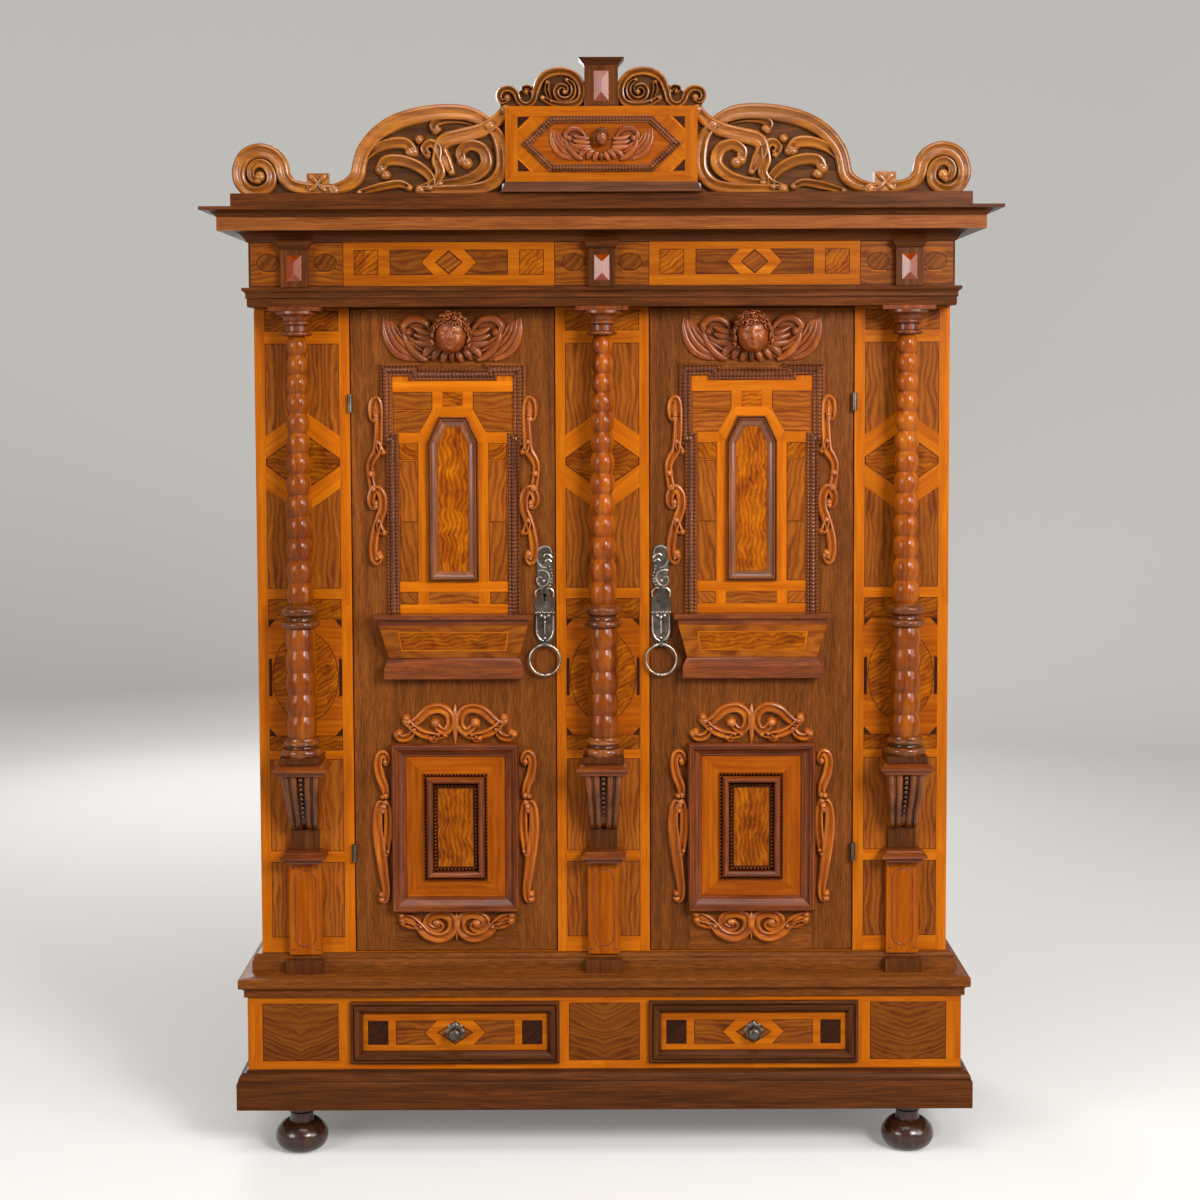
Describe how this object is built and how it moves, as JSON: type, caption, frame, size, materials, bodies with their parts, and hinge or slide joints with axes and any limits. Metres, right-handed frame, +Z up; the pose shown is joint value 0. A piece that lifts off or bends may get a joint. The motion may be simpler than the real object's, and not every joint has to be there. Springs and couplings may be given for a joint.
{
  "type": "cupboard",
  "caption": "Tall two-door marquetry cupboard with turned columns, plinth drawers, moulded cornice and carved crest.",
  "frame": {"origin": "centre of the whole box at floor level", "axes": "+Z up, +X to the viewer's right, the doors face -Y"},
  "size_m": [1.712, 0.705, 2.4],
  "materials": {
    "dark_oak": "waxed",
    "oak": "waxed",
    "walnut": "polished",
    "fruitwood": "polished",
    "carved_fruitwood": "polished",
    "ebonised_wood": "polished",
    "wrought_iron": "satin",
    "softwood": "plain"
  },
  "bodies": {
    "carcass": {"bun_feet": "ebonised_wood", "base_frame": "dark_oak", "plinth_front": "fruitwood", "plinth_carcass": "softwood", "waist_moulding": "dark_oak", "pilasters": "walnut", "side_panels": "oak", "back_boards": "softwood", "carcass_boards": "softwood", "shelves": "softwood", "column_pedestals": "dark_oak", "corbels": "carved_fruitwood", "column_shafts": "walnut", "column_rings": "ebonised_wood", "column_capitals": "walnut", "architrave": "dark_oak", "frieze": "walnut", "frieze_blocks": "dark_oak", "diamonds": "carved_fruitwood", "cornice": "dark_oak", "cover_boards": "softwood", "crest_rail": "dark_oak", "crest_tablet": "fruitwood", "crest_scrolls": "fruitwood", "crest_cherub": "carved_fruitwood", "hinge_pintles": "wrought_iron"},
    "left_door": {"left_door_frame": "dark_oak", "left_door_panels": "dark_oak", "left_upper_field": "fruitwood", "left_ripple_frame": "ebonised_wood", "left_console": "carved_fruitwood", "left_lower_frame": "ebonised_wood", "left_scrolls": "carved_fruitwood", "left_cherub": "carved_fruitwood", "left_lock_plate": "wrought_iron", "left_lock_case": "wrought_iron", "left_hinge_straps": "wrought_iron"},
    "left_ring": {"left_ring": "wrought_iron"},
    "left_bolt": {"left_bolt": "wrought_iron"},
    "left_drawer": {"left_drawer_front": "ebonised_wood", "left_drawer_box": "softwood", "left_drawer_knob": "wrought_iron"},
    "right_door": {"right_door_frame": "dark_oak", "right_door_panels": "dark_oak", "right_upper_field": "fruitwood", "right_ripple_frame": "ebonised_wood", "right_console": "carved_fruitwood", "right_lower_frame": "ebonised_wood", "right_scrolls": "carved_fruitwood", "right_cherub": "carved_fruitwood", "right_lock_plate": "wrought_iron", "right_lock_case": "wrought_iron", "right_hinge_straps": "wrought_iron"},
    "right_ring": {"right_ring": "wrought_iron"},
    "right_bolt": {"right_bolt": "wrought_iron"},
    "right_drawer": {"right_drawer_front": "ebonised_wood", "right_drawer_box": "softwood", "right_drawer_knob": "wrought_iron"},
    "right_keyhole_cover": {"right_keyhole_cover": "wrought_iron"}
  },
  "joints": [
    {"name": "left_door_hinge", "type": "hinge", "parent": "carcass", "child": "left_door", "pos_m": [-0.556, -0.2085, 0.436], "axis": [0, 0, -1], "range_deg": [0, 90]},
    {"name": "left_ring_swing", "type": "hinge", "parent": "left_door", "child": "left_ring", "pos_m": [-0.129, -0.2125, 1.127], "axis": [-1, 0, 0], "range_deg": [-5, 115]},
    {"name": "left_bolt_slide", "type": "slide", "parent": "left_door", "child": "left_bolt", "axis": [1, 0, 0], "range_m": [0, 0.022]},
    {"name": "left_drawer_slide", "type": "slide", "parent": "carcass", "child": "left_drawer", "axis": [0, -1, 0], "range_m": [0, 0.33]},
    {"name": "right_door_hinge", "type": "hinge", "parent": "carcass", "child": "right_door", "pos_m": [0.556, -0.2085, 0.436], "axis": [0, 0, 1], "range_deg": [0, 90]},
    {"name": "right_ring_swing", "type": "hinge", "parent": "right_door", "child": "right_ring", "pos_m": [0.129, -0.2125, 1.127], "axis": [-1, 0, 0], "range_deg": [-5, 115]},
    {"name": "right_bolt_slide", "type": "slide", "parent": "right_door", "child": "right_bolt", "axis": [-1, 0, 0], "range_m": [0, 0.022]},
    {"name": "right_drawer_slide", "type": "slide", "parent": "carcass", "child": "right_drawer", "axis": [0, -1, 0], "range_m": [0, 0.33]},
    {"name": "right_keyhole_cover_swing", "type": "hinge", "parent": "right_door", "child": "right_keyhole_cover", "pos_m": [0.129, -0.202, 1.251], "axis": [0, -1, 0], "range_deg": [-40, 90]}
  ]
}
